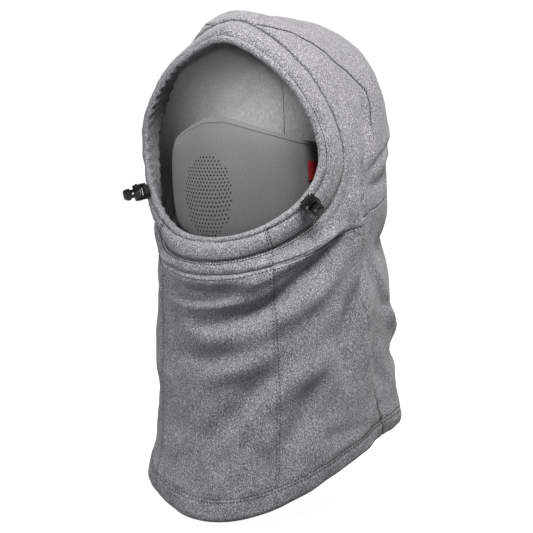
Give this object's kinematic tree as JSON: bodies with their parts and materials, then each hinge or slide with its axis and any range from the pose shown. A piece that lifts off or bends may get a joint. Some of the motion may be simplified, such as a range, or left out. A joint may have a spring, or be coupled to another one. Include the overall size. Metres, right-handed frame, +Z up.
{
  "type": "hooded balaclava",
  "caption": "Hooded knit balaclava with a long neck, a drawcord face opening with two cord locks, and a perforated face mask hinged inside.",
  "frame": {"origin": "middle of the wearer's head, level with the cheekbones, where the head seats in the hood", "axes": "+Z up along the neck and head, +X to the wearer's left, the face opening looks along -Y"},
  "size_m": [0.198, 0.244, 0.4231],
  "materials": {
    "shell_knit": "heather grey knit",
    "lining_fleece": "light grey brushed fleece",
    "mask_cloth": "smooth grey bonded cloth",
    "mask_tape": "grey folded binding",
    "label_woven": "dark red woven",
    "webbing": "black webbing",
    "elastic_cord": "black braided elastic",
    "lock_nylon": "black moulded nylon",
    "spring_steel": "bright wire"
  },
  "bodies": {
    "hood": {"chin_band": "shell_knit", "hood_side_panel_left": "shell_knit", "hood_side_panel_right": "shell_knit", "crown_panel": "shell_knit", "front_bib_panel": "shell_knit", "neck_side_panel_left": "shell_knit", "neck_side_panel_right": "shell_knit", "neck_back_panel": "shell_knit", "drawcord_tunnel_chin": "shell_knit", "drawcord_tunnel_left": "shell_knit", "drawcord_tunnel_right": "shell_knit", "hood_lining_side_left": "lining_fleece", "hood_lining_side_right": "lining_fleece", "hood_lining_crown": "lining_fleece", "eyelet_left": "lock_nylon", "eyelet_right": "lock_nylon", "drawcord_over_crown": "elastic_cord", "drawcord_under_chin": "elastic_cord", "mask_anchor_tape_left": "mask_tape", "mask_anchor_tape_right": "mask_tape", "cord_lock_tab_left": "webbing", "cord_lock_tab_right": "webbing"},
    "mask": {"mask_panel": "mask_cloth", "mask_wing_left": "mask_cloth", "mask_wing_right": "mask_cloth", "mask_top_binding": "mask_tape", "mask_bottom_binding": "mask_tape", "mask_label": "label_woven"},
    "lock_left": {"cord_lock_body_left": "lock_nylon", "cord_lock_spring_left": "spring_steel", "cord_loop_left": "elastic_cord"},
    "plunger_left": {"cord_lock_plunger_left": "lock_nylon"},
    "lock_right": {"cord_lock_body_right": "lock_nylon", "cord_lock_spring_right": "spring_steel", "cord_loop_right": "elastic_cord"},
    "plunger_right": {"cord_lock_plunger_right": "lock_nylon"}
  },
  "joints": [
    {"name": "mask_pull_down", "type": "hinge", "parent": "hood", "child": "mask", "pos_m": [0, 0.008, 0.028], "axis": [1, 0, 0], "range_deg": [0, 30]},
    {"name": "lock_left_swing", "type": "hinge", "parent": "hood", "child": "lock_left", "pos_m": [0.07864, -0.06373, 0.00037], "axis": [0.5218, 0.4621, 0.7171], "range_deg": [-15, 15], "stiffness_Nm_per_rad": 0.01},
    {"name": "plunger_left_press", "type": "slide", "parent": "lock_left", "child": "plunger_left", "axis": [-0.8484, 0.3692, 0.3794], "range_m": [0, 0.0023], "stiffness_N_per_m": 600, "springref_m": -0.002, "deforming": ["cord_lock_spring_left"]},
    {"name": "lock_right_swing", "type": "hinge", "parent": "hood", "child": "lock_right", "pos_m": [-0.07845, -0.06438, 0.00092], "axis": [0.5218, -0.4621, -0.7171], "range_deg": [-15, 15], "stiffness_Nm_per_rad": 0.01},
    {"name": "plunger_right_press", "type": "slide", "parent": "lock_right", "child": "plunger_right", "axis": [0.7871, 0.585, 0.1957], "range_m": [0, 0.0023], "stiffness_N_per_m": 600, "springref_m": -0.002, "deforming": ["cord_lock_spring_right"]}
  ]
}
